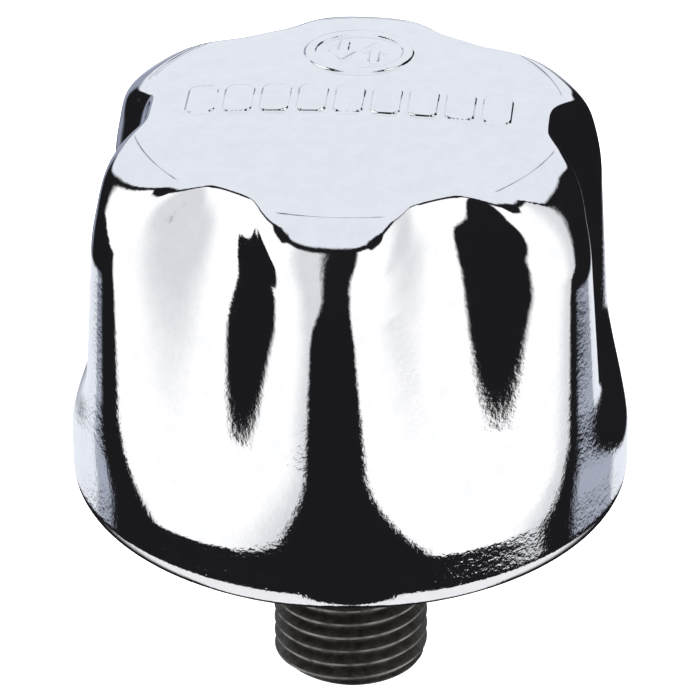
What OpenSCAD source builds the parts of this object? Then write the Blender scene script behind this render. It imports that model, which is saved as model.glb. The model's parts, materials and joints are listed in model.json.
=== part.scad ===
// Screwed filter breather for a small oil tank or gear case.
// A fluted steel cap is crimped over a pressed base plate, which carries a hollow screwed spigot,
// a two-way poppet valve and a pleated air filter.
// +Z is up along the thread axis. z = 0 is the gasket face that seals on the tank.
// The lobes of the cap point along +Y and -Y, and every sixth of a turn from there.

/* [Cap] */
// Outside diameter of the cap at its skirt
cap_d = 47; // [46.8:0.1:48]
// Height of the top of the dome above the sealing face
cap_top = 36.95; // [36.8:0.05:37.1]
// Thickness of the drawn steel sheet
sheet_t = 0.8; // [0.7:0.05:0.85]
// Diameter of the crease between the domed top and the lobes
crease_d = 35.9; // [35:0.1:37]
// Radius of the sphere that the domed top is part of
dome_radius = 130; // [110:1:150]
// Number of lobes, with a finger flute between each two
lobes = 6; // [6, 8]
// Radius at which the dome turns down into a flute
flute_edge_r = 15.9; // [15.6:0.05:16.2]

/* [Spigot] */
// Outside diameter of the G 1/4 pipe thread
thread_d = 13.157; // [13:0.001:13.3]
// Pitch of the thread, 19 turns to the inch
thread_pitch = 1.337; // [1.2:0.001:1.337]
// Depth of the thread
thread_depth = 0.856; // [0.7:0.001:0.9]
// Number of thread turns
thread_turns = 12; // [8:1:12]
// Length of the spigot below the sealing face
spigot_l = 16.45; // [16:0.05:18]
// Bore that the air passes through
bore_d = 8; // [7.6:0.1:8.4]

/* [Base] */
// Radius of the base plate inside the crimp
plate_r = 21.7; // [21.4:0.05:21.7]
// Thickness of the base plate
plate_t = 0.8; // [0.6:0.1:0.8]
// Number of air slots in the base plate
air_slots = 6; // [4:1:8]
// Width of each air slot
slot_w = 2.4; // [1.6:0.1:2.6]
// Angle that each air slot spans
slot_angle = 34; // [20:1:34]

/* [Valve] */
// Wire of the pressure spring
pressure_wire = 0.7; // [0.5:0.05:0.7]
// Wire of the intake spring
intake_wire = 0.28; // [0.2:0.02:0.28]

/* [Filter] */
// Number of pleats in the filter paper
pleats = 36; // [24:1:40]
// Outside radius of the filter element over its end caps
element_r = 15.9; // [15.6:0.1:16]
// Height of the filter element over its end caps
element_h = 13.6; // [12:0.1:13.6]
// Wire of the spring that holds the element down
holding_wire = 1.0; // [0.8:0.1:1]

/* [Hidden] */
$fn = 96;
gap = 0.05;                       // clearance between pieces that are pressed together
cut = 1;                          // how far a cutter runs past the face that it cuts

// Heights, from the sealing face up
gasket_t = 1.5;                   // tank gasket
flange_top = 2.6;                 // top of the spigot flange and underside of the base plate
plate_top = flange_top + plate_t; // top of the base plate and underside of the cage
cage_floor_t = 0.6;               // thickness of the cage
cage_floor_top = plate_top + cage_floor_t;
seat_z = cage_floor_top + 0.8;    // top of the swaged lip, which is the valve seat
seal_t = 1.0;                     // rubber seal ring of the pressure valve
disc_z = seat_z + seal_t;         // underside of the pressure disc
disc_t = 0.8;                     // thickness of the pressure disc
disc_top = disc_z + disc_t;
retainer_z = 12.2;                // underside of the spring retainer
retainer_t = 0.8;                 // thickness of the spring retainer
cage_top = 14.6;                  // top of the cage flange
element_gasket_t = 0.8;           // gasket under the filter element
element_z = cage_top + element_gasket_t;
element_top = element_z + element_h;
cup_z = 35.05;                    // underside of the spring cup
cup_t = 0.6;                      // thickness of the spring cup

// Radii
cap_r = cap_d / 2;
crease_r = crease_d / 2;
crest_r = thread_d / 2;
root_r = crest_r - thread_depth;
bore_r = bore_d / 2;
undercut_r = 5.6;                 // plain neck above the thread
flange_r = 10;                    // spigot flange and tank gasket
neck_r = 7;                       // neck through the plate and the cage floor
lip_r = 7.5;                      // swaged lip over the cage floor
cage_r = 9;                       // inside of the cage
cage_flange_r = 12;               // flange that carries the filter element
seal_r = 7.2;                     // outside of the pressure seal
pressure_disc_r = 7.6;            // pressure disc
intake_r = 3.2;                   // intake disc
stem_r = 0.7;                     // stem of the intake disc
clip_z = disc_top + 2.6;          // underside of the intake clip
clip_t = 0.4;                     // thickness of the intake clip
core_r = 8;                       // inside of the filter core
core_t = 0.6;                     // wall of the filter core
guard_r = element_r - 0.8;        // inside of the filter guard
end_t = 0.8;                      // sheet of the filter end caps

// Cap outline. Each line below is a cubic curve of four points [r, z], and the lobe line and
// the flute line are cut into the same three stretches: shoulder, upper wall, lower wall.
// Under them a straight skirt and a curl run round the whole cap.
curl_r = 2.1;                     // outer radius of the curl at the rim
rim_z = 1.3;                      // lowest point of the rim
curl_z = rim_z + curl_r;          // where the curl starts
rim_lip = 0.8;                    // width of the lip that is folded in under the base plate
rim_rise = 0.5;                   // how far the lip rises towards the plate
skirt_z = 6.4;                    // top of the round skirt, where the flutes have run out
arc_k = 0.5523;                   // handle length that makes a cubic curve a quarter circle
crease_z = cap_top - dome_radius + sqrt(pow(dome_radius, 2) - pow(crease_r, 2));
edge_z = cap_top - dome_radius + sqrt(pow(dome_radius, 2) - pow(flute_edge_r, 2));
lobe_lines = [
    [[crease_r, crease_z], [crease_r + 3.2, crease_z - 0.93], [cap_r - 0.85, 30], [cap_r - 0.75, 26.2]],
    [[cap_r - 0.75, 26.2], [cap_r - 0.64, 22.1], [cap_r - 0.48, 19], [cap_r - 0.34, 15]],
    [[cap_r - 0.34, 15], [cap_r - 0.23, 12], [cap_r, skirt_z + 3], [cap_r, skirt_z]]];
flute_lines = [
    [[flute_edge_r, edge_z], [flute_edge_r + 1.1, edge_z - 0.16], [16.7, 34.8], [18.1, 29.5]],
    [[18.1, 29.5], [19.1, 25.7], [19.7, 20.4], [20.36, 16.1]],
    [[20.36, 16.1], [20.72, 12.8], [cap_r, skirt_z + 2.8], [cap_r, skirt_z]]];
curl_line = [[cap_r, curl_z], [cap_r, curl_z - arc_k * curl_r],
             [cap_r - (1 - arc_k) * curl_r, rim_z], [cap_r - curl_r, rim_z]];

// Steps along and round the cap
dome_steps = 3;
shoulder_steps = 8;
wall_steps = 4;
curl_steps = 4;
turn_steps = 96;

// Shape of the flutes across: square where they start, a plain wave on the wall, narrow at the skirt
square_gain = 1.35;               // how far the square shape is driven past full depth
square_power = 2;                 // width of the square shape
square_corner = 6;                // sharpness of its corners
wall_power = 1.15;                // width of the flutes on the wall
skirt_power = 2.1;                // width of the flutes at the skirt
square_hold = 0.3;                // part of the shoulder over which the square shape holds
square_end = 0.75;                // part of the shoulder at which the wall shape is reached

// A point of a cubic curve
function cubic(p, t) =
    pow(1 - t, 3) * p[0] + 3 * pow(1 - t, 2) * t * p[1] + 3 * (1 - t) * t * t * p[2] + pow(t, 3) * p[3];

// The points of a cubic curve after its first
function walk(p, n) = [for (i = [1:n]) cubic(p, i / n)];

// The domed top from just beside its centre out to radius r
function dome_points(r) =
    [for (i = [1:dome_steps])
        let (x = r * i / dome_steps)
        [x, cap_top - dome_radius + sqrt(pow(dome_radius, 2) - x * x)]];

// The whole outline of a lobe or a flute, from the dome to the inside of the rim
function outline(edge_r, lines) =
    concat(dome_points(edge_r), walk(lines[0], shoulder_steps), walk(lines[1], wall_steps),
           walk(lines[2], wall_steps), [[cap_r, curl_z]], walk(curl_line, curl_steps),
           [[cap_r - curl_r - rim_lip, rim_z + rim_rise]]);

lobe_outline = outline(crease_r, lobe_lines);
flute_outline = outline(flute_edge_r, flute_lines);
rows = len(lobe_outline);

// 0 below low, 1 above high, and smooth between
function smooth_step(x, low, high) =
    let (t = max(0, min(1, (x - low) / (high - low)))) t * t * (3 - 2 * t);

// A square version of a wave between 0 and 1: driven past 1, then rounded off just below it
function square_raw(wave) =
    let (x = square_gain * pow(wave, square_power)) x / pow(1 + pow(x, square_corner), 1 / square_corner);
function square_shape(wave) = square_raw(wave) / square_raw(1);

// How far the cap is from lobe (0) to flute (1) at angle a and outline point i
function flute_share(a, i) =
    let (wave = (1 - cos(lobes * (a - 90))) / 2,
         shoulder = (i + 1 - dome_steps) / shoulder_steps,
         lower = (i + 1 - dome_steps - shoulder_steps - wall_steps) / wall_steps,
         wall_part = smooth_step(shoulder, square_hold, square_end),
         skirt_part = smooth_step(lower, 0, 1),
         share = square_shape(wave) * (1 - wall_part) + pow(wave, wall_power) * wall_part)
    share * (1 - skirt_part) + pow(wave, skirt_power) * skirt_part;

// The outline at angle a
function cut_outline(a) =
    [for (i = [0:rows - 1])
        lobe_outline[i] + flute_share(a, i) * (flute_outline[i] - lobe_outline[i])];

// The direction out of the sheet at point i of an outline
function out_of_sheet(line, i) =
    let (d = line[min(i + 1, len(line) - 1)] - line[max(i - 1, 0)]) [-d[1], d[0]] / norm(d);

// The same outline moved into the sheet by its thickness
function inner_outline(line) =
    [for (i = [0:len(line) - 1]) line[i] - sheet_t * out_of_sheet(line, i)];

// An outline turned to angle a
function turned(line, a) = [for (p = line) [p[0] * cos(a), p[0] * sin(a), p[1]]];

// One piece of drawn sheet: rings of points outside and inside, closed at the rim
module cap_shell() {
    angles = [for (k = [0:turn_steps - 1]) 360 * k / turn_steps];
    outer = [for (a = angles) turned(cut_outline(a), a)];
    inner = [for (a = angles) turned(inner_outline(cut_outline(a)), a)];
    points = concat([for (line = outer) each line], [for (line = inner) each line],
                    [[0, 0, cap_top], [0, 0, cap_top - sheet_t]]);
    in0 = turn_steps * rows;
    top = 2 * in0;
    last = rows - 1;
    faces = [for (k = [0:turn_steps - 1])
        let (a = k * rows, b = ((k + 1) % turn_steps) * rows)
        each concat(
            [[top, b, a], [top + 1, in0 + a, in0 + b]],
            [for (i = [0:last - 1]) each [[a + i, b + i, b + i + 1], [a + i, b + i + 1, a + i + 1]]],
            [for (i = [0:last - 1]) each [[in0 + a + i, in0 + b + i + 1, in0 + b + i],
                                          [in0 + a + i, in0 + a + i + 1, in0 + b + i + 1]]],
            [[a + last, b + last, in0 + b + last], [a + last, in0 + b + last, in0 + a + last]])];
    color([0.82, 0.83, 0.86])
        polyhedron(points = points, faces = faces, convexity = 6);
}

// A flat ring
module ring(inside_r, outside_r, z, t) {
    translate([0, 0, z])
        difference() {
            cylinder(r = outside_r, h = t);
            translate([0, 0, -cut]) cylinder(r = inside_r, h = t + 2 * cut);
        }
}

// A row of upright holes round the axis
module hole_row(count, at_r, hole_r, z, h, turn = 0) {
    for (k = [0:count - 1])
        rotate(turn + 360 * k / count) translate([at_r, 0, z]) cylinder(r = hole_r, h = h, $fn = 24);
}

// Pressed pan that closes the cap, with kidney-shaped air slots
module base_plate() {
    slot_mid = 18.6;
    wall_h = 2;
    color([0.62, 0.63, 0.65])
        difference() {
            union() {
                ring(neck_r + gap, plate_r, flange_top, plate_t);
                ring(plate_r - plate_t, plate_r, flange_top, wall_h);
            }
            for (k = [0:air_slots - 1])
                rotate(360 * k / air_slots - slot_angle / 2) translate([0, 0, flange_top - cut]) {
                    rotate_extrude(angle = slot_angle)
                        translate([slot_mid - slot_w / 2, 0]) square([slot_w, plate_t + 2 * cut]);
                    for (a = [0, slot_angle])
                        rotate(a) translate([slot_mid, 0]) cylinder(d = slot_w, h = plate_t + 2 * cut);
                }
        }
}

// Ring of gauze that keeps dirt out of the slots
module inlet_screen() {
    screen_t = 0.2;
    z = plate_top + gap;
    color([0.70, 0.70, 0.68])
        difference() {
            ring(16.8, 20.4, z, screen_t);
            hole_row(40, 18.0, 0.5, z - cut, screen_t + 2 * cut);
            hole_row(40, 19.4, 0.55, z - cut, screen_t + 2 * cut, 4.5);
        }
}

// Turned spigot: grooved for the thread, flanged under the plate, swaged over the cage floor
module threaded_spigot() {
    crest_w = 0.2;
    chamfer = 0.55;
    low = -spigot_l;
    first = low + chamfer + crest_w;
    thread = [for (i = [0:thread_turns - 1])
        let (z = first + i * thread_pitch)
        each [[crest_r, z], [crest_r, z + crest_w],
              [root_r, z + (thread_pitch - crest_w) / 2 + crest_w / 2],
              [root_r, z + (thread_pitch + crest_w) / 2 + crest_w / 2]]];
    profile = concat(
        [[bore_r, low], [crest_r - chamfer, low]], thread,
        [[undercut_r, first + thread_turns * thread_pitch], [undercut_r, gasket_t],
         [flange_r, gasket_t], [flange_r, flange_top], [neck_r, flange_top],
         [neck_r, cage_floor_top], [lip_r, cage_floor_top], [lip_r, seat_z], [bore_r, seat_z]]);
    color([0.24, 0.23, 0.22]) rotate_extrude() polygon(profile);
}

// Rubber washer between the flange and the tank
module tank_gasket() {
    color([0.10, 0.10, 0.10]) ring(6.9, flange_r, 0, gasket_t);
}

// Cup that houses the valve and carries the filter element
module valve_cage() {
    color([0.60, 0.60, 0.62])
        union() {
            ring(neck_r + gap, cage_r + cage_floor_t, plate_top, cage_floor_t);
            ring(cage_r, cage_r + cage_floor_t, plate_top, cage_top - plate_top);
            ring(cage_r, cage_flange_r, cage_top - cage_floor_t, cage_floor_t);
        }
}

// Perforated plate that the pressure spring pushes against
module spring_retainer() {
    color([0.58, 0.58, 0.60])
        difference() {
            ring(2.4, cage_r - gap, retainer_z, retainer_t);
            hole_row(6, 7.1, 1.1, retainer_z - cut, retainer_t + 2 * cut);
        }
}

// One ring of points of a coiled wire
function wire_ring(r, z, a, wire_r, sides) =
    [for (s = [0:sides - 1])
        let (b = 360 * s / sides, x = r + wire_r * cos(b)) [x * cos(a), x * sin(a), z + wire_r * sin(b)]];

// Coil spring between two heights, with one closed turn at each end
module coil(low_r, high_r, low_z, high_z, wire, turns, closed = true, sides = 8, turn_rings = 20) {
    h = high_z - low_z - wire;
    end = closed ? wire + 0.04 : h / turns;
    total = 360 * turns;
    count = turns * turn_rings;
    rings = [for (k = [0:count])
        let (a = total * k / count,
             z = lookup(a, [[0, 0], [360, end], [total - 360, h - end], [total, h]]))
        wire_ring(low_r + (high_r - low_r) * k / count, low_z + wire / 2 + z, a, wire / 2, sides)];
    faces = concat(
        [[for (s = [0:sides - 1]) s]],
        [for (k = [0:count - 1]) for (s = [0:sides - 1])
            let (n = (s + 1) % sides, a = k * sides, b = a + sides)
            each [[a + s, b + s, b + n], [a + s, b + n, a + n]]],
        [[for (s = [sides - 1:-1:0]) count * sides + s]]);
    polyhedron(points = [for (r = rings) each r], faces = faces, convexity = 10);
}

// Spring that keeps the pressure valve shut
module pressure_spring() {
    color([0.50, 0.51, 0.54]) coil(4.8, 4.8, disc_top, retainer_z, pressure_wire, 4.5);
}

// Disc of the pressure valve, with a stem hole and the intake ports
module pressure_disc() {
    color([0.72, 0.66, 0.45])
        difference() {
            translate([0, 0, disc_z]) cylinder(r = pressure_disc_r, h = disc_t);
            translate([0, 0, disc_z - cut]) cylinder(r = stem_r + 0.3, h = disc_t + 2 * cut);
            hole_row(6, 2.3, 0.45, disc_z - cut, disc_t + 2 * cut);
        }
}

// Rubber ring under the pressure disc, which closes on the seat
module pressure_seal() {
    color([0.12, 0.12, 0.12]) ring(4.3, seal_r, seat_z, seal_t);
}

// Mushroom of the intake valve: a disc and a stem up through the pressure disc
module intake_disc() {
    intake_disc_t = 0.5;
    z = disc_z - 0.9;
    color([0.72, 0.66, 0.45])
        union() {
            translate([0, 0, z]) cylinder(r = intake_r, h = intake_disc_t);
            translate([0, 0, z]) cylinder(r = stem_r, h = clip_z + clip_t + 0.4 - z);
        }
}

// Thin rubber facing of the intake valve
module intake_seal() {
    color([0.12, 0.12, 0.12]) ring(stem_r + gap, intake_r, disc_z - 0.4, 0.4);
}

// Spring that keeps the intake valve shut
module intake_spring() {
    color([0.55, 0.56, 0.58]) coil(1.55, 1.55, disc_top, clip_z, intake_wire, 3.75, true, 6, 16);
}

// Push-on clip that holds the intake spring on the stem
module intake_clip() {
    color([0.45, 0.45, 0.47]) ring(stem_r + gap, 2.1, clip_z, clip_t);
}

// Gasket between the cage flange and the filter element
module element_gasket() {
    color([0.16, 0.15, 0.15]) ring(cage_r, cage_flange_r, cage_top, element_gasket_t);
}

// Flanged end cap of the element: a disc and a short skirt
module end_cap(inside_r, z, skirt_z) {
    skirt_h = 2;
    ring(inside_r, element_r, z, end_t);
    ring(guard_r + 0.4 + gap, element_r, skirt_z, skirt_h);
}

// Lower end cap, open in the middle
module filter_end_lower() {
    color([0.66, 0.66, 0.62]) end_cap(core_r, element_z, element_z);
}

// Upper end cap, closed by a disc
module filter_end_upper() {
    color([0.66, 0.66, 0.62])
        union() {
            end_cap(core_r, element_top - end_t, element_top - 2);
            translate([0, 0, element_top - end_t]) cylinder(r = core_r + cut, h = end_t);
        }
}

// Tube with rows of round holes through its wall
module perforated_tube(inside_r, wall, hole_r, round_count, rows_up) {
    low = element_z + end_t;
    h = element_h - 2 * end_t;
    difference() {
        ring(inside_r, inside_r + wall, low, h);
        for (j = [0:rows_up - 1]) for (k = [0:round_count - 1])
            rotate(360 * (k + j % 2 / 2) / round_count)
                translate([inside_r - cut, 0, low + h * (j + 0.5) / rows_up])
                    rotate([0, 90, 0]) cylinder(r = hole_r, h = wall + 2 * cut, $fn = 24);
    }
}

// Inner core of the element
module filter_core() {
    color([0.60, 0.61, 0.63]) perforated_tube(core_r, core_t, 0.95, 12, 4);
}

// Outer guard of the element
module filter_guard() {
    color([0.64, 0.65, 0.66]) perforated_tube(guard_r, 0.4, 1.2, 20, 4);
}

// Pleated paper between the core and the guard
module filter_media() {
    low = element_z + end_t;
    h = element_h - 2 * end_t;
    deep = 1.2;
    in_r = core_r + core_t + 0.1;
    out_r = guard_r - 0.1;
    star_points = 2 * pleats;
    color([0.86, 0.78, 0.58])
        translate([0, 0, low])
            linear_extrude(h)
                difference() {
                    star(in_r + deep, out_r, star_points);
                    star(in_r, out_r - deep, star_points);
                }
}

// Zigzag outline round the axis
module star(low_r, high_r, count) {
    polygon([for (k = [0:count - 1])
        let (r = k % 2 == 0 ? high_r : low_r, a = 360 * k / count) [r * cos(a), r * sin(a)]]);
}

// Cone spring that presses the element onto the cage
module holding_spring() {
    color([0.52, 0.53, 0.55]) coil(11.5, 5.6, element_top, cup_z, holding_wire, 3.5, false);
}

// Small dish that seats the cone spring under the dome
module spring_cup() {
    color([0.60, 0.60, 0.62])
        union() {
            translate([0, 0, cup_z]) cylinder(r = 6.8, h = cup_t);
            ring(3.6, 4.4, cup_z - 1.2, 1.2 + cup_t);
        }
}

cap_shell();
base_plate();
inlet_screen();
threaded_spigot();
tank_gasket();
valve_cage();
spring_retainer();
pressure_spring();
pressure_disc();
pressure_seal();
intake_disc();
intake_seal();
intake_spring();
intake_clip();
element_gasket();
filter_end_lower();
filter_core();
filter_media();
filter_guard();
filter_end_upper();
holding_spring();
spring_cup();
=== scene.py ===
"""Looks of a screwed filter breather: a fluted chrome cap over a dark threaded spigot.

The cap, the spigot and the coil springs are rebuilt as fine meshes inside the CAD solids' space.
Every other node keeps its CAD shape and gets a procedural material.
Lengths in the constants are millimetres; meshes are scaled to metres when they are made.
"""
import json
import math

import bpy
import numpy as np
from mathutils import Matrix, Vector


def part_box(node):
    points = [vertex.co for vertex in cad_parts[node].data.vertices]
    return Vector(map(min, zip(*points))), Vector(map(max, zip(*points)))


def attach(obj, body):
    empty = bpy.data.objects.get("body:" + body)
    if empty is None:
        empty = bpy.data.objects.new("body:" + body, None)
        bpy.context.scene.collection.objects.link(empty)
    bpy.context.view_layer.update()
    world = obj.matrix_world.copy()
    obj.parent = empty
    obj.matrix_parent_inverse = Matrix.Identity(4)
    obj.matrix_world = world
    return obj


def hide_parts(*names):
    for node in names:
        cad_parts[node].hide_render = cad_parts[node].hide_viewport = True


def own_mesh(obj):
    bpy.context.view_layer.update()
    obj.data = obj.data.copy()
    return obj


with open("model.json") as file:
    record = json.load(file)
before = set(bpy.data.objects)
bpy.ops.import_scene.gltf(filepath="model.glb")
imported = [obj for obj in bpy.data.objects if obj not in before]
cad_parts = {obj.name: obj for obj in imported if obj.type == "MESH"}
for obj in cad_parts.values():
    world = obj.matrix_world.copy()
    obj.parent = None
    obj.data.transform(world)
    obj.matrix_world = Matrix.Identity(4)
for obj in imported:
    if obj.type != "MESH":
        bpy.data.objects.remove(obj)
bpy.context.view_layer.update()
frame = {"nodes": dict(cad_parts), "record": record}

MM = 0.001
NODES = frame["nodes"]

# Camera: a long lens, from a little right of the front lobe. Angles are degrees.
CAMERA_AZIMUTH = 5.1
CAMERA_ELEVATION = 29.6
CAMERA_DISTANCE = 503.5
CAMERA_ROLL = -0.2
AIM_HEIGHT = 13.15
LENS = 308.057
SENSOR = 36.0

# Cap outline: cubic curves of four points [radius, height], as in the CAD source
CAP_R = 23.5
CAP_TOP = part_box("cap_shell")[1].z / MM
SHEET_T = 0.8
DOME_R = 130.0
EMBOSS_H = 0.25
CREASE_R = 17.95
GROOVE_R = 17.75
GROOVE_W = 0.12
GROOVE_DEPTH = 0.08
FLUTE_EDGE_R = 15.9
RIM_Z = 1.3
CURL_R = 2.1
CURL_Z = RIM_Z + CURL_R
RIM_LIP = 0.8
RIM_RISE = 0.5
SKIRT_Z = 6.4
ARC_K = 0.5523
LOBES = 6
# Flutes start square at the dome, and narrow toward the skirt
SQUARE_GAIN = 1.35
SQUARE_POWER = 2.0
SQUARE_CORNER = 6
WALL_POWER = 1.15
SKIRT_POWER = 2.1
SQUARE_HOLD = 0.3
SQUARE_END = 0.75


def dome_z(r):
    """Height of the domed top at radius r."""
    return CAP_TOP - EMBOSS_H - DOME_R + np.sqrt(DOME_R ** 2 - r * r)


LOBE_LINES = (
    ((CREASE_R, dome_z(CREASE_R)), (CREASE_R + 3.2, dome_z(CREASE_R) - 0.93), (22.65, 30.0), (22.75, 26.2)),
    ((22.75, 26.2), (22.86, 22.1), (23.02, 19.0), (23.16, 15.0)),
    ((23.16, 15.0), (23.27, 12.0), (CAP_R, SKIRT_Z + 3.0), (CAP_R, SKIRT_Z)),
)
FLUTE_LINES = (
    ((FLUTE_EDGE_R, dome_z(FLUTE_EDGE_R)), (FLUTE_EDGE_R + 1.1, dome_z(FLUTE_EDGE_R) - 0.16),
     (16.7, 34.8), (18.1, 29.5)),
    ((18.1, 29.5), (19.1, 25.7), (19.7, 20.4), (20.36, 16.1)),
    ((20.36, 16.1), (20.72, 12.8), (CAP_R, SKIRT_Z + 2.8), (CAP_R, SKIRT_Z)),
)
SKIRT_LINE = ((CAP_R, SKIRT_Z), (CAP_R, SKIRT_Z - 1.2), (CAP_R, CURL_Z + 1.2), (CAP_R, CURL_Z))
CURL_LINE = (
    (CAP_R, CURL_Z), (CAP_R, CURL_Z - ARC_K * CURL_R),
    (CAP_R - (1 - ARC_K) * CURL_R, RIM_Z), (CAP_R - CURL_R, RIM_Z),
)

# Mesh steps
DOME_STEPS = 180
SHOULDER_STEPS = 40
WALL_STEPS = 36
SKIRT_STEPS = 10
CURL_STEPS = 16
TURN_STEPS = 720
INNER_SKIP = 4


# ---------------------------------------------------------------- mesh tools

def make_object(name, verts_mm, faces):
    """A smooth mesh object from millimetre points and face index lists."""
    mesh = bpy.data.meshes.new(name)
    mesh.from_pydata((np.asarray(verts_mm, float) * MM).tolist(), [], faces)
    mesh.validate()
    mesh.polygons.foreach_set("use_smooth", [True] * len(mesh.polygons))
    mesh.update()
    obj = bpy.data.objects.new(name, mesh)
    bpy.context.scene.collection.objects.link(obj)
    return obj


def grid_faces(rows, cols, first=0, flip=False):
    """Quads of a grid that closes round its columns: index = first + row * cols + col."""
    r, c = np.meshgrid(np.arange(rows - 1), np.arange(cols), indexing="ij")
    n = (c + 1) % cols
    a, b = first + r * cols + c, first + r * cols + n
    d, e = a + cols, b + cols
    quads = np.stack([a, d, e, b] if not flip else [a, b, e, d], axis=-1)
    return quads.reshape(-1, 4).tolist()


def cubic(points, steps):
    """The points of a cubic curve after its first."""
    p = np.array(points, float)
    t = (np.arange(1, steps + 1) / steps)[:, None]
    return (1 - t) ** 3 * p[0] + 3 * (1 - t) ** 2 * t * p[1] + 3 * (1 - t) * t * t * p[2] + t ** 3 * p[3]


def smooth_step(x, low, high):
    """0 below low, 1 above high, and smooth between."""
    t = np.clip((x - low) / (high - low), 0, 1)
    return t * t * (3 - 2 * t)


# ---------------------------------------------------------------- cap

def rounded_box(x, y, cx, cy, half_w, half_h, corner):
    """Signed distance to a rounded rectangle, below 0 inside."""
    qx = np.abs(x - cx) - (half_w - corner)
    qy = np.abs(y - cy) - (half_h - corner)
    outside = np.hypot(np.maximum(qx, 0), np.maximum(qy, 0))
    return outside + np.minimum(np.maximum(qx, qy), 0) - corner


def emboss(x, y):
    """Height of the raised pattern on the dome: a row of plain bars, and a ring with two arrows."""
    far_off = 9.0
    bars, bar_pitch, bar_y = 9, 3.05, 0.2
    bar_half_w, bar_half_h, bar_corner = 1.2, 2.3, 0.7
    distance = np.full(x.shape, far_off)
    for k in range(bars):
        cx = (k - (bars - 1) / 2) * bar_pitch
        distance = np.minimum(distance, rounded_box(x, y, cx, bar_y, bar_half_w, bar_half_h, bar_corner))
    ring_y, ring_r, ring_half = 9.6, 4.1, 0.45
    radius = np.hypot(x, y - ring_y)
    distance = np.minimum(distance, np.abs(radius - ring_r) - ring_half)
    arrow_x, tip, head_foot, head_taper, head_scale = 1.35, 2.0, 0.1, 0.62, 0.85
    stem_v, stem_half_w, stem_half_h, stem_corner = -0.8, 0.42, 1.3, 0.2
    for side in (-1, 1):
        v = (y - ring_y) * side
        across = np.abs(x - side * arrow_x)
        head = np.maximum(across - (tip - v) * head_taper, head_foot - v) * head_scale
        stem = rounded_box(x, v, side * arrow_x, stem_v, stem_half_w, stem_half_h, stem_corner)
        distance = np.minimum(distance, np.minimum(head, stem))
    edge = 0.11
    return EMBOSS_H * smooth_step(-distance, -edge, edge)


def outline(edge_r, lines):
    """A whole lobe or flute outline, from beside the centre to the lip inside the rim."""
    r = edge_r * np.arange(1, DOME_STEPS + 1) / DOME_STEPS
    parts = [np.stack([r, dome_z(r)], axis=1)]
    parts += [cubic(line, n) for line, n in zip(lines, (SHOULDER_STEPS, WALL_STEPS, WALL_STEPS))]
    parts += [cubic(SKIRT_LINE, SKIRT_STEPS), cubic(CURL_LINE, CURL_STEPS)]
    return np.concatenate(parts + [np.array([[CAP_R - CURL_R - RIM_LIP, RIM_Z + RIM_RISE]])])


def flute_share(row, turn):
    """How far the cap is from lobe (0) to flute (1), by outline row and turn."""
    wave = (1 - np.cos(LOBES * (turn - math.pi / 2))) / 2
    square = SQUARE_GAIN * wave ** SQUARE_POWER
    square = square / (1 + square ** SQUARE_CORNER) ** (1 / SQUARE_CORNER)
    share = square * (1 + SQUARE_GAIN ** SQUARE_CORNER) ** (1 / SQUARE_CORNER) / SQUARE_GAIN
    shoulder = (row + 1 - DOME_STEPS) / SHOULDER_STEPS
    lower = (row + 1 - DOME_STEPS - SHOULDER_STEPS - WALL_STEPS) / WALL_STEPS
    share = share + (wave ** WALL_POWER - share) * smooth_step(shoulder, SQUARE_HOLD, SQUARE_END)
    return share + (wave ** SKIRT_POWER - share) * smooth_step(lower, 0, 1)


def cap_surface():
    """Outer surface of the cap as an array [row, turn, xyz]."""
    lobe, flute = outline(CREASE_R, LOBE_LINES), outline(FLUTE_EDGE_R, FLUTE_LINES)
    turn = np.arange(TURN_STEPS) * 2 * math.pi / TURN_STEPS
    share = flute_share(np.arange(len(lobe))[:, None], turn[None, :])
    line = lobe[:, None, :] + share[..., None] * (flute - lobe)[:, None, :]
    x, y = line[..., 0] * np.cos(turn), line[..., 0] * np.sin(turn)
    z = line[..., 1].copy()
    top = slice(0, DOME_STEPS)
    z[top] += emboss(x[top], y[top])
    z[top] -= GROOVE_DEPTH * np.exp(-((line[top, :, 0] - GROOVE_R) / GROOVE_W) ** 2)
    return np.stack([x, y, z], axis=-1)


def surface_normals(grid):
    """Outward unit normals of a [row, turn, xyz] surface."""
    round_way = np.roll(grid, -1, axis=1) - np.roll(grid, 1, axis=1)
    down_way = np.gradient(grid, axis=0)
    n = np.cross(down_way, round_way)
    return n / np.linalg.norm(n, axis=-1, keepdims=True)


def make_cap():
    """One piece of drawn sheet: outer skin, inner skin and the edge of the lip."""
    outer = cap_surface()
    inner = (outer - SHEET_T * surface_normals(outer))[::-1][::INNER_SKIP][::-1]
    rows_out, rows_in = len(outer), len(inner)
    verts = np.concatenate([outer.reshape(-1, 3), inner.reshape(-1, 3),
                            [[0, 0, outer[0, :, 2].mean()], [0, 0, outer[0, :, 2].mean() - SHEET_T]]])
    in0 = rows_out * TURN_STEPS
    top, under = len(verts) - 2, len(verts) - 1
    faces = grid_faces(rows_out, TURN_STEPS)
    faces += grid_faces(rows_in, TURN_STEPS, in0, flip=True)
    last_out, last_in = in0 - TURN_STEPS, in0 + (rows_in - 1) * TURN_STEPS
    for k in range(TURN_STEPS):
        n = (k + 1) % TURN_STEPS
        faces.append([top, k, n])
        faces.append([under, in0 + n, in0 + k])
        faces.append([last_out + k, last_in + k, last_in + n, last_out + n])
    return make_object("fluted_cap", verts, faces)


# ---------------------------------------------------------------- spigot

THREAD_PITCH = 1.337
THREAD_DEPTH = 0.856
CREST_R = 6.5785
ROOT_R = CREST_R - THREAD_DEPTH
BORE_R = 4.0
SPIGOT_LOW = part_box("threaded_spigot")[0].z / MM
THREAD_HIGH = -0.6
RUNOUT_H = 1.2
CHAMFER = 0.55
LEAD_SLOPE = 1.1
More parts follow.
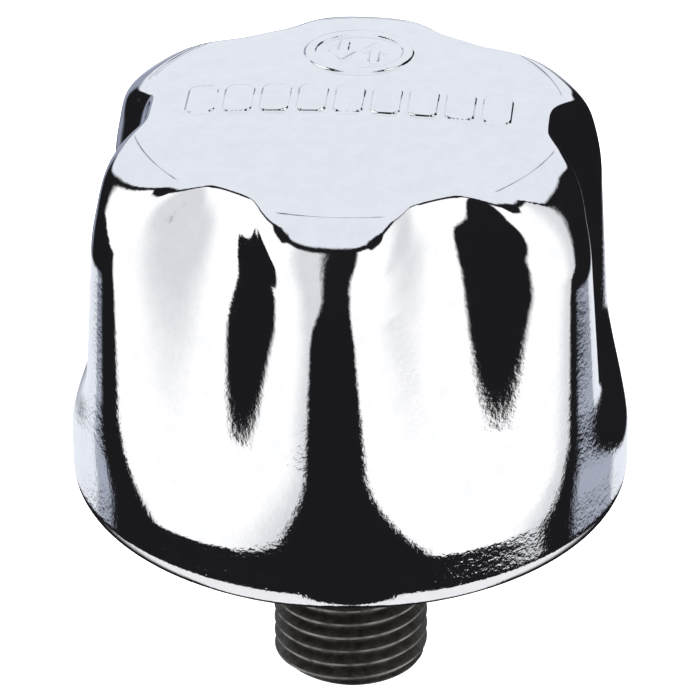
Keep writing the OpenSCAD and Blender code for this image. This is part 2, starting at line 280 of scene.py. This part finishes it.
# Flank of the thread: a blend of a rounded and a straight one, by parts of half a pitch
FLANK_ROUND = 0.06
FLANK_FLAT = 0.09
ROUND_SHARE = 0.45
UNDERCUT_R = 5.6
FLANGE_R = 10.0
FLANGE_LOW = 1.5
FLANGE_HIGH = 2.6
NECK_R = 7.0
NECK_HIGH = 4.0
LIP_R = 7.5
SEAT_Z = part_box("threaded_spigot")[1].z / MM


def thread_radius(z, turn):
    """Radius of the right-hand thread, with rounded crests and roots, a lead-in cone and a run-out."""
    phase = (z - SPIGOT_LOW) / THREAD_PITCH - turn / (2 * math.pi)
    wave = np.abs((phase % 1.0) * 2 - 1)
    rounded = smooth_step(wave, FLANK_ROUND, 1 - FLANK_ROUND)
    straight = np.clip((wave - FLANK_FLAT) / (1 - 2 * FLANK_FLAT), 0, 1)
    flank = rounded * ROUND_SHARE + straight * (1 - ROUND_SHARE)
    runout = smooth_step(z, THREAD_HIGH - RUNOUT_H, THREAD_HIGH)
    r = ROOT_R + THREAD_DEPTH * flank
    r = r * (1 - runout) + UNDERCUT_R * runout
    cone = CREST_R - CHAMFER + (z - SPIGOT_LOW) * LEAD_SLOPE
    return np.minimum(r, cone)


def make_spigot():
    """The turned spigot as one closed surface of revolution, with a helical thread cut in it."""
    turns, fine = 240, 16
    rows_up = int((THREAD_HIGH - SPIGOT_LOW) / THREAD_PITCH * fine)
    turn = np.arange(turns) * 2 * math.pi / turns
    rings = []

    def plain(r, z):
        rings.append((np.full(turns, float(r)), float(z)))

    ease = 0.12
    plain(BORE_R, SEAT_Z - ease)
    plain(BORE_R, SPIGOT_LOW + 3 * ease)
    plain(BORE_R + ease, SPIGOT_LOW + ease)
    plain(BORE_R + 3 * ease, SPIGOT_LOW)
    plain(CREST_R - CHAMFER - 2 * ease, SPIGOT_LOW)
    for i in range(rows_up + 1):
        z = SPIGOT_LOW + ease / 2 + (THREAD_HIGH - SPIGOT_LOW - ease / 2) * i / rows_up
        rings.append((thread_radius(z, turn), z))
    for r, z in ((UNDERCUT_R, FLANGE_LOW - ease), (UNDERCUT_R + ease, FLANGE_LOW),
                 (FLANGE_R - ease, FLANGE_LOW), (FLANGE_R, FLANGE_LOW + ease),
                 (FLANGE_R, FLANGE_HIGH - ease), (FLANGE_R - ease, FLANGE_HIGH),
                 (NECK_R, FLANGE_HIGH), (NECK_R, NECK_HIGH), (LIP_R - ease, NECK_HIGH),
                 (LIP_R, NECK_HIGH + ease), (LIP_R - ease, SEAT_Z - ease), (LIP_R - 3 * ease, SEAT_Z),
                 (BORE_R + ease, SEAT_Z)):
        plain(r, z)
    verts = [np.stack([r * np.cos(turn), r * np.sin(turn), np.full(turns, z)], axis=1) for r, z in rings]
    count = len(rings)
    faces = grid_faces(count, turns, flip=True)
    last = (count - 1) * turns
    faces += [[last + k, last + (k + 1) % turns, (k + 1) % turns, k] for k in range(turns)]
    return make_object("thread_spigot", np.concatenate(verts), faces)


# ---------------------------------------------------------------- springs

def make_coil(name, node, low_r, high_r, wire, turns, closed):
    """A coil spring between the heights of its CAD node, with its ends ground flat."""
    low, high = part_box(node)
    low_z, high_z = low.z / MM, high.z / MM
    h = high_z - low_z - wire
    sides, per_turn = 14, 56
    play, ground_off = 0.04, 0.12
    total = int(turns * per_turn)
    end = wire + play if closed else h / turns
    knots, heights = [0, 1, turns - 1, turns], [0, end, h - end, h]
    rings = []
    for k in range(total + 1):
        at = k / per_turn
        a = 2 * math.pi * at
        z = low_z + wire / 2 + np.interp(at, knots, heights)
        r = low_r + (high_r - low_r) * at / turns
        b = 2 * math.pi * np.arange(sides) / sides
        radius, height = r + wire / 2 * np.cos(b), z + wire / 2 * np.sin(b)
        ring = np.stack([radius * math.cos(a), radius * math.sin(a), height], axis=1)
        ring[:, 2] = np.clip(ring[:, 2], low_z + wire * ground_off, high_z - wire * ground_off)
        rings.append(ring)
    faces = grid_faces(total + 1, sides, flip=True)
    faces.append(list(range(sides)))
    faces.append([total * sides + s for s in reversed(range(sides))])
    return make_object(name, np.concatenate(rings), faces)


# ---------------------------------------------------------------- materials

class Tree:
    """Short calls for building a node material."""

    def __init__(self, name):
        self.material = bpy.data.materials.new(name)
        self.material.use_nodes = True
        self.nodes = self.material.node_tree.nodes
        self.links = self.material.node_tree.links
        self.shader = self.nodes["Principled BSDF"]
        self.coords = self.nodes.new("ShaderNodeTexCoord").outputs["Object"]

    def link(self, a, b):
        self.links.new(a, b)

    def noise(self, per_mm, detail=3.0, rough=0.55, stretch=(1, 1, 1)):
        """Noise of a given number of cells per millimetre."""
        mapping = self.nodes.new("ShaderNodeMapping")
        mapping.inputs["Scale"].default_value = stretch
        self.link(self.coords, mapping.inputs["Vector"])
        node = self.nodes.new("ShaderNodeTexNoise")
        node.inputs["Scale"].default_value = per_mm / MM
        node.inputs["Detail"].default_value = detail
        node.inputs["Roughness"].default_value = rough
        self.link(mapping.outputs["Vector"], node.inputs["Vector"])
        return node.outputs["Fac"]

    def ramp(self, value, stops):
        """A colour ramp of (place, colour) stops."""
        node = self.nodes.new("ShaderNodeValToRGB")
        band = node.color_ramp
        while len(band.elements) < len(stops):
            band.elements.new(0.5)
        for element, (place, colour) in zip(band.elements, stops):
            element.position = place
            element.color = (*colour, 1)
        self.link(value, node.inputs["Fac"])
        return node.outputs["Color"]

    def spread(self, value, low, high, from_low=0.3, from_high=0.7):
        """The value's middle range spread between two numbers."""
        node = self.nodes.new("ShaderNodeMapRange")
        node.inputs["From Min"].default_value = from_low
        node.inputs["From Max"].default_value = from_high
        node.inputs["To Min"].default_value = low
        node.inputs["To Max"].default_value = high
        self.link(value, node.inputs["Value"])
        return node.outputs["Result"]

    def times(self, a, b):
        """Product of two values."""
        node = self.nodes.new("ShaderNodeMath")
        node.operation = "MULTIPLY"
        self.link(a, node.inputs[0])
        self.link(b, node.inputs[1])
        return node.outputs["Value"]

    def mix(self, share, under, over):
        """One colour turned into another by a share."""
        node = self.nodes.new("ShaderNodeMix")
        node.data_type = "RGBA"
        self.link(share, node.inputs["Factor"])
        self.link(under, node.inputs["A"])
        node.inputs["B"].default_value = (*over, 1)
        return node.outputs["Result"]

    def radius_height(self):
        """Distance from the thread axis, and height."""
        split = self.nodes.new("ShaderNodeSeparateXYZ")
        self.link(self.coords, split.inputs["Vector"])
        flat = self.nodes.new("ShaderNodeCombineXYZ")
        self.link(split.outputs["X"], flat.inputs["X"])
        self.link(split.outputs["Y"], flat.inputs["Y"])
        length = self.nodes.new("ShaderNodeVectorMath")
        length.operation = "LENGTH"
        self.link(flat.outputs["Vector"], length.inputs[0])
        return length.outputs["Value"], split.outputs["Z"]

    def bump(self, height, strength, distance_mm, under=None):
        """Bump of a given depth, over another bump if one is given."""
        node = self.nodes.new("ShaderNodeBump")
        node.inputs["Strength"].default_value = strength
        node.inputs["Distance"].default_value = distance_mm * MM
        self.link(height, node.inputs["Height"])
        if under is not None:
            self.link(under, node.inputs["Normal"])
        return node.outputs["Normal"]

    def set(self, **values):
        for name, value in values.items():
            self.shader.inputs[name.replace("_", " ")].default_value = value


def chrome():
    """Bright chrome over drawn steel: faint mottle, orange peel, grain low on the wall, and a dark ring of
    painted shade just inside the crease.
    """
    t = Tree("chrome_plate")
    t.set(Metallic=1.0)
    plate = t.ramp(t.noise(0.6, 5, 0.75), [(0.3, (0.84, 0.845, 0.865)), (0.7, (0.91, 0.91, 0.92))])
    t.link(t.spread(t.noise(0.5, 4), 0.03, 0.05), t.shader.inputs["Roughness"])
    radius, height = t.radius_height()
    # Painted shade: a dark ring, in patches, on the dome just inside the crease stands for the shade in the
    # steep groove there.
    soft, line_in, line_out, foot = 0.08, CREASE_R - 0.14, CREASE_R - 0.02, dome_z(CREASE_R) - 0.12
    inside = t.spread(radius, 0.0, 1.0, line_in * MM, (line_in + soft) * MM)
    outside = t.spread(radius, 1.0, 0.0, line_out * MM, (line_out + soft) * MM)
    on_dome = t.spread(height, 0.0, 1.0, foot * MM, (foot + soft / 2) * MM)
    patchy = t.spread(t.noise(0.25, 2), 0.45, 1.0, 0.4, 0.6)
    line = t.times(t.times(inside, outside), t.times(on_dome, patchy))
    t.link(t.mix(line, plate, (0.12, 0.12, 0.14)), t.shader.inputs["Base Color"])
    lower = t.spread(height, 1.0, 0.3, 0.014, 0.026)
    grain = t.times(t.noise(2.2, 2, 0.6), lower)
    peel = t.bump(t.noise(0.7, 2, 0.5), 0.3, 0.02)
    t.link(t.bump(grain, 1.0, 0.013, peel), t.shader.inputs["Normal"])
    return t.material


def phosphate():
    """Dark oiled phosphate on turned steel, mottled, with the thread crests painted brighter: part rubbed
    wear, part painted highlight.
    """
    t = Tree("phosphated_steel")
    t.set(Metallic=0.85, Specular_IOR_Level=0.4)
    mottle = t.ramp(t.noise(1.3, 5, 0.65), [(0.35, (0.040, 0.037, 0.034)), (0.65, (0.085, 0.08, 0.073))])
    # The thread crests are painted brighter: partly rubbed wear, partly a painted highlight for the light
    # that they catch.
    crest = t.spread(t.radius_height()[0], 0.0, 1.0, (CREST_R - 0.09) * MM, (CREST_R - 0.02) * MM)
    crest_wear_and_highlight = t.times(crest, t.spread(t.noise(0.9, 3), 0.2, 0.9, 0.35, 0.6))
    t.link(t.mix(crest_wear_and_highlight, mottle, (0.30, 0.29, 0.28)), t.shader.inputs["Base Color"])
    t.link(t.spread(t.noise(2.0, 4), 0.32, 0.52), t.shader.inputs["Roughness"])
    t.link(t.bump(t.noise(4.5, 4, 0.7), 0.35, 0.03), t.shader.inputs["Normal"])
    return t.material


def zinc():
    """Bright zinc on pressed sheet, with a faint spangle and pressing lines."""
    t = Tree("zinc_steel")
    t.set(Metallic=1.0)
    t.link(t.ramp(t.noise(0.45, 3), [(0.3, (0.50, 0.51, 0.53)), (0.7, (0.66, 0.67, 0.68))]),
           t.shader.inputs["Base Color"])
    t.link(t.spread(t.noise(1.6, 4), 0.24, 0.40), t.shader.inputs["Roughness"])
    t.link(t.bump(t.noise(2.4, 4, 0.6), 0.15, 0.02), t.shader.inputs["Normal"])
    return t.material


def gauze():
    """Woven stainless gauze: two crossed wave patterns give the wires."""
    t = Tree("steel_gauze")
    t.set(Metallic=1.0, Roughness=0.35)
    waves = []
    for direction in ("X", "Y"):
        wave = t.nodes.new("ShaderNodeTexWave")
        wave.bands_direction = direction
        wave.inputs["Scale"].default_value = 0.9 / MM
        t.link(t.coords, wave.inputs["Vector"])
        waves.append(wave.outputs["Fac"])
    weave = t.nodes.new("ShaderNodeMath")
    weave.operation = "MAXIMUM"
    t.link(waves[0], weave.inputs[0])
    t.link(waves[1], weave.inputs[1])
    t.link(t.ramp(weave.outputs["Value"], [(0.35, (0.06, 0.06, 0.06)), (0.8, (0.62, 0.62, 0.60))]),
           t.shader.inputs["Base Color"])
    t.link(t.bump(weave.outputs["Value"], 0.6, 0.08), t.shader.inputs["Normal"])
    return t.material


def spring_wire():
    """Drawn spring wire with a thin grey skin and die marks."""
    t = Tree("spring_steel")
    t.set(Metallic=1.0)
    t.link(t.ramp(t.noise(1.8, 3), [(0.3, (0.30, 0.31, 0.33)), (0.7, (0.50, 0.51, 0.53))]),
           t.shader.inputs["Base Color"])
    t.link(t.spread(t.noise(3.0, 3), 0.22, 0.36), t.shader.inputs["Roughness"])
    t.link(t.bump(t.noise(7.0, 2), 0.2, 0.01), t.shader.inputs["Normal"])
    return t.material


def brass():
    """Turned brass with a slight tarnish."""
    t = Tree("valve_brass")
    t.set(Metallic=1.0)
    t.link(t.ramp(t.noise(0.7, 4), [(0.3, (0.56, 0.40, 0.18)), (0.7, (0.78, 0.60, 0.30))]),
           t.shader.inputs["Base Color"])
    t.link(t.spread(t.noise(2.5, 3), 0.18, 0.34), t.shader.inputs["Roughness"])
    t.link(t.bump(t.noise(6.0, 2), 0.15, 0.01), t.shader.inputs["Normal"])
    return t.material


def rubber():
    """Matt black nitrile rubber, dusty in patches."""
    t = Tree("nitrile_rubber")
    t.link(t.ramp(t.noise(1.0, 4), [(0.35, (0.016, 0.016, 0.016)), (0.7, (0.05, 0.049, 0.047))]),
           t.shader.inputs["Base Color"])
    t.link(t.spread(t.noise(2.0, 3), 0.55, 0.75), t.shader.inputs["Roughness"])
    t.link(t.bump(t.noise(9.0, 3), 0.3, 0.02), t.shader.inputs["Normal"])
    return t.material


def paper():
    """Resin-treated filter paper with a fibrous face."""
    t = Tree("filter_paper")
    fibre = t.noise(3.0, 6, 0.7, (1, 1, 0.35))
    t.link(t.ramp(fibre, [(0.3, (0.62, 0.50, 0.28)), (0.7, (0.82, 0.72, 0.48))]),
           t.shader.inputs["Base Color"])
    t.link(t.spread(fibre, 0.75, 0.95), t.shader.inputs["Roughness"])
    t.link(t.bump(fibre, 0.5, 0.05), t.shader.inputs["Normal"])
    return t.material


MATERIALS = {
    "chrome_plate": chrome(), "phosphated_steel": phosphate(), "zinc_steel": zinc(),
    "steel_gauze": gauze(), "spring_steel": spring_wire(), "valve_brass": brass(),
    "nitrile_rubber": rubber(), "filter_paper": paper(),
}


def place(piece, slot, body, *nodes):
    """Gives a new piece its material, its body and the CAD nodes that it stands for."""
    piece.data.materials.append(MATERIALS[slot])
    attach(piece, body)
    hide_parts(*nodes)
    return piece


def finish_cad_nodes():
    """Every CAD node that stays gets the material of its slot."""
    for row in frame["record"]["subparts"]:
        mesh = NODES[row["node"]].data
        mesh.materials.clear()
        mesh.materials.append(MATERIALS[row["material_slot"]])


# ---------------------------------------------------------------- studio

def make_floor():
    """A pale floor under the spigot, hidden from reflections so that the chrome sees the studio."""
    half, z = 1500.0, SPIGOT_LOW - 0.05
    corners = [(-half, -half, z), (half, -half, z), (half, half, z), (-half, half, z)]
    floor = make_object("studio_floor", corners, [[0, 1, 2, 3]])
    material = bpy.data.materials.new("studio_floor")
    material.use_nodes = True
    shader = material.node_tree.nodes["Principled BSDF"]
    shader.inputs["Base Color"].default_value = (0.9, 0.9, 0.9, 1)
    shader.inputs["Roughness"].default_value = 1.0
    shader.inputs["Emission Color"].default_value = (1, 1, 1, 1)
    shader.inputs["Emission Strength"].default_value = 0.72
    floor.data.materials.append(material)
    floor.visible_glossy = False


class World:
    """A studio painted round the object, by azimuth from the camera and elevation, in degrees."""

    def __init__(self):
        world = bpy.data.worlds.new("studio")
        world.use_nodes = True
        bpy.context.scene.world = world
        self.nodes, self.links = world.node_tree.nodes, world.node_tree.links
        self.background = self.nodes["Background"]
        direction = self.nodes.new("ShaderNodeTexCoord").outputs["Generated"]
        split = self.nodes.new("ShaderNodeSeparateXYZ")
        self.links.new(direction, split.inputs["Vector"])
        x, y, z = (split.outputs[axis] for axis in "XYZ")
        turn = math.radians(CAMERA_AZIMUTH)
        side = self.add(self.scale(x, math.cos(turn)), self.scale(y, math.sin(turn)))
        front = self.add(self.scale(x, math.sin(turn)), self.scale(y, -math.cos(turn)))
        self.azimuth = self.scale(self.math("ARCTAN2", side, front), 180 / math.pi)
        self.elevation = self.scale(self.math("ARCSINE", z), 180 / math.pi)
        self.away = self.math("ABSOLUTE", self.azimuth)
        self.left, self.right = self.below(self.azimuth, 0, 1), self.rise(self.azimuth, 0, 1)

    def math(self, operation, a, b=None):
        node = self.nodes.new("ShaderNodeMath")
        node.operation = operation
        for socket, value in zip(node.inputs, (a, b)):
            if isinstance(value, (int, float)):
                socket.default_value = value
            elif value is not None:
                self.links.new(value, socket)
        return node.outputs["Value"]

    def add(self, a, b):
        return self.math("ADD", a, b)

    def scale(self, a, b):
        return self.math("MULTIPLY", a, b)

    def climb(self, value, start, slope, most=None):
        """0 up to a place, then a slope, up to a limit if one is given."""
        line = self.scale(self.math("MAXIMUM", self.add(value, -start), 0), slope)
        return line if most is None else self.math("MINIMUM", line, most)

    def rise(self, value, at, soft):
        """0 to 1 as the value passes a place, over a soft width."""
        node = self.nodes.new("ShaderNodeMapRange")
        node.interpolation_type = "SMOOTHSTEP"
        node.inputs["From Min"].default_value = at - soft
        node.inputs["From Max"].default_value = at + soft
        self.links.new(value, node.inputs["Value"])
        return node.outputs["Result"]

    def below(self, value, at, soft):
        """1 to 0 as the value passes a place."""
        return self.math("SUBTRACT", 1, self.rise(value, at, soft))

    def window(self, value, low, high, soft_low, soft_high=None):
        """1 between two places of a value."""
        return self.scale(self.rise(value, low, soft_low), self.below(value, high, soft_high or soft_low))

    def paint(self, base, mask, colour):
        """A colour laid over another where the mask is 1."""
        node = self.nodes.new("ShaderNodeMix")
        node.data_type = "RGBA"
        self.links.new(mask, node.inputs["Factor"])
        for socket, value in ((node.inputs["A"], base), (node.inputs["B"], colour)):
            if isinstance(value, tuple):
                socket.default_value = (*value, 1)
            else:
                self.links.new(value, socket)
        return node.outputs["Result"]


# Elevations of the ceiling's edge in front, the top and foot of the softboxes, and the table
CEILING_EL = 53
BOX_TOP_EL = 45
BOX_FOOT_EL = -28
TABLE_EL = -36.5
UNDERSIDE_EL = -62
# How much lower the ceiling comes on its way back: (azimuth, half width of the change, drop)
LEFT_DROPS = ((113, 28, 50),)
RIGHT_DROPS = ((97, 6, 25), (137, 12, 23), (158, 7, 11))
# Azimuths of the softboxes' inner and outer edges
BOX_INNER_AZ = 31
BOX_LEFT_AZ = -86
BOX_RIGHT_AZ = 91
STRIP_HALF_AZ = 21
# Colours
BLACK = (0.012, 0.012, 0.014)
CEILING = (0.86, 0.89, 0.96)
TABLE = (0.95, 0.95, 0.97)
NEAR_WALL = (0.42, 0.45, 0.54)
FAR_WALL = (0.33, 0.36, 0.45)
BACK_WALL = (0.6, 0.63, 0.7)
BOX_EDGE = (0.78, 0.79, 0.82)
BOX_MIDDLE = (1.15, 1.15, 1.15)


def ceiling_drop(w):
    """How far the ceiling has come down at an azimuth."""
    sides = []
    for side, drops in ((w.left, LEFT_DROPS), (w.right, RIGHT_DROPS)):
        total = 0
        for azimuth, soft, drop in drops:
            total = w.add(w.scale(w.rise(w.away, azimuth, soft), drop), total)
        sides.append(w.scale(side, total))
    return w.add(*sides)


def paint_back(w, sky):
    """The walls beside and behind the object, and the far edge of the table at their foot."""
    far_left = w.scale(w.left, w.rise(w.away, 148, 5))
    sky = w.paint(sky, w.scale(far_left, w.window(w.elevation, -26, 5, 3)), FAR_WALL)
    low = w.window(w.elevation, -31.6, -27.2, 0.7)
    side = w.add(w.window(w.azimuth, 106, 138, 3), w.window(w.azimuth, -129, -117, 3))
    sky = w.paint(sky, w.scale(side, low), NEAR_WALL)
    behind = w.math("MAXIMUM", w.rise(w.azimuth, 138, 2), w.below(w.azimuth, -129, 2))
    sky = w.paint(sky, w.scale(behind, low), CEILING)
    back = w.scale(w.rise(w.away, 168, 3), w.window(w.elevation, -28.5, -8, 1, 4))
    return w.paint(sky, back, BACK_WALL)


def softboxes(w, from_edge, flute_side):
    """Mask of the two softboxes, and how near to their bright middle a place is."""
    # Inner edges lean toward the camera with height
    left_lean = w.climb(w.elevation, -17, 0.4, 4.8)
    right_lean = w.add(w.climb(w.elevation, -2, 0.45, 5.4), -3)
    lean = w.add(w.scale(w.right, right_lean), w.scale(w.left, left_lean))
    lean = w.add(w.add(w.away, w.climb(w.elevation, BOX_FOOT_EL, 0.45, 13.5)), lean)
    inner = w.rise(lean, BOX_INNER_AZ, 2.5)

    # Outer edges flare away from it
    from_left = w.add(w.azimuth, w.climb(w.elevation, -15.5, 5, 36))
    flare = w.climb(w.elevation, -21, 3, 10)
    flare = w.add(flare, w.scale(w.math("MINIMUM", w.add(w.elevation, 27), 0), 1.5))
    from_right = w.math("SUBTRACT", w.azimuth, flare)
    outer = w.scale(w.rise(from_left, BOX_LEFT_AZ, 2.5), w.below(from_right, BOX_RIGHT_AZ, 2.5))

    # The foot sinks toward the right, and rises toward the camera
    foot = w.add(w.elevation, w.climb(w.azimuth, 15, 0.04))
    foot = w.add(foot, w.climb(w.azimuth, 60, 0.05))
    foot = w.add(foot, w.scale(w.math("MINIMUM", w.add(w.away, -45), 0), 0.06))
    top = w.below(w.add(from_edge, w.scale(flute_side, 8)), BOX_TOP_EL, 2)
    upright = w.scale(w.rise(foot, BOX_FOOT_EL, 0.8), top)

    middle = w.math("MAXIMUM", w.scale(w.rise(w.away, 42, 13), w.left),
                    w.scale(w.below(from_right, 76, 13), w.right))
    return w.scale(w.scale(inner, outer), upright), middle


def make_world():
    """Dark studio with two tall softboxes, a pale ceiling that comes down behind, and a pale table."""
    w = World()
    from_edge = w.add(w.elevation, ceiling_drop(w))
    # The gap between softbox and ceiling is wider beside the front lobe, where the flutes face
    flute_side = w.add(w.window(w.azimuth, -90, -60, 6), w.window(w.azimuth, 36, 64, 6))
    sky = w.paint(BLACK, w.rise(w.add(from_edge, w.scale(flute_side, -3)), CEILING_EL, 2), CEILING)
    sky = paint_back(w, sky)

    mask, middle = softboxes(w, from_edge, flute_side)
    sky = w.paint(sky, mask, w.paint(BOX_EDGE, middle, BOX_MIDDLE))

    # Table in front, cut by the dark strip under the camera
    aside = w.math("SUBTRACT", 1, w.window(w.azimuth, -STRIP_HALF_AZ, STRIP_HALF_AZ, 1.5))
    front = w.scale(aside, w.below(w.away, 120, 20))
    sky = w.paint(sky, w.scale(w.below(w.elevation, TABLE_EL, 0.8), front), TABLE)
    under = w.scale(aside, w.below(w.away, 152, 3))
    sky = w.paint(sky, w.scale(w.below(w.elevation, UNDERSIDE_EL, 2), under), TABLE)

    # Only reflections see the painted studio; everything else sees plain white
    rays = w.nodes.new("ShaderNodeLightPath")
    seen = w.nodes.new("ShaderNodeMix")
    seen.data_type = "RGBA"
    w.links.new(rays.outputs["Is Glossy Ray"], seen.inputs["Factor"])
    seen.inputs["A"].default_value = (1, 1, 1, 1)
    w.links.new(sky, seen.inputs["B"])
    w.links.new(seen.outputs["Result"], w.background.inputs["Color"])
    w.background.inputs["Strength"].default_value = 1.0


def seen_from(azimuth, elevation):
    """The direction from the object to a viewer; azimuth 0 is the front."""
    a, e = math.radians(azimuth), math.radians(elevation)
    return Vector((math.sin(a) * math.cos(e), -math.cos(a) * math.cos(e), math.sin(e)))


def make_light(name, azimuth, elevation, distance, size, power):
    """A soft area light that looks at the cap and stays out of its reflections."""
    light = bpy.data.lights.new(name, "AREA")
    light.shape, light.size, light.energy = "DISK", size * MM, power
    obj = bpy.data.objects.new(name, light)
    bpy.context.scene.collection.objects.link(obj)
    obj.location = seen_from(azimuth, elevation) * distance * MM
    obj.rotation_mode = "QUATERNION"
    obj.rotation_quaternion = (-obj.location).to_track_quat("-Z", "Y")
    obj.visible_glossy = False


def make_camera():
    """The camera, turned a little about its own axis."""
    data = bpy.data.cameras.new("camera")
    data.sensor_width = SENSOR
    data.lens = LENS
    camera = bpy.data.objects.new("camera", data)
    bpy.context.scene.collection.objects.link(camera)
    back = seen_from(CAMERA_AZIMUTH, CAMERA_ELEVATION)
    turn = math.radians(CAMERA_AZIMUTH)
    right = Vector((math.cos(turn), math.sin(turn), 0))
    up = back.cross(right)
    roll = math.radians(CAMERA_ROLL)
    rolled_right = right * math.cos(roll) + up * math.sin(roll)
    rolled_up = up * math.cos(roll) - right * math.sin(roll)
    place_at = Vector((0, 0, AIM_HEIGHT)) * MM + back * CAMERA_DISTANCE * MM
    camera.matrix_world = Matrix((
        (rolled_right.x, rolled_up.x, back.x, place_at.x),
        (rolled_right.y, rolled_up.y, back.y, place_at.y),
        (rolled_right.z, rolled_up.z, back.z, place_at.z),
        (0, 0, 0, 1)))
    data.clip_start, data.clip_end = 0.01, 20
    bpy.context.scene.camera = camera


# ---------------------------------------------------------------- assembly

finish_cad_nodes()
place(make_cap(), "chrome_plate", "housing", "cap_shell")
place(make_spigot(), "phosphated_steel", "housing", "threaded_spigot")

# Springs: mean radii, wire and turns as in the CAD source.
pressure_coil = make_coil("pressure_coil", "pressure_spring", low_r=4.8, high_r=4.8, wire=0.7,
                          turns=4.5, closed=True)
place(pressure_coil, "spring_steel", "housing", "pressure_spring")
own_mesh(pressure_coil)

intake_coil = make_coil("intake_coil", "intake_spring", low_r=1.55, high_r=1.55, wire=0.28,
                        turns=3.75, closed=True)
place(intake_coil, "spring_steel", "pressure_valve", "intake_spring")
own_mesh(intake_coil)

holding_coil = make_coil("holding_coil", "holding_spring", low_r=11.5, high_r=5.6, wire=1.0,
                         turns=3.5, closed=False)
place(holding_coil, "spring_steel", "housing", "holding_spring")

make_floor()
make_world()
make_light("key_light", CAMERA_AZIMUTH - 40, elevation=50, distance=500, size=260, power=4.0)
make_light("fill_light", CAMERA_AZIMUTH + 60, elevation=35, distance=500, size=300, power=2.5)
make_camera()
bpy.context.scene.view_settings.view_transform = "Standard"
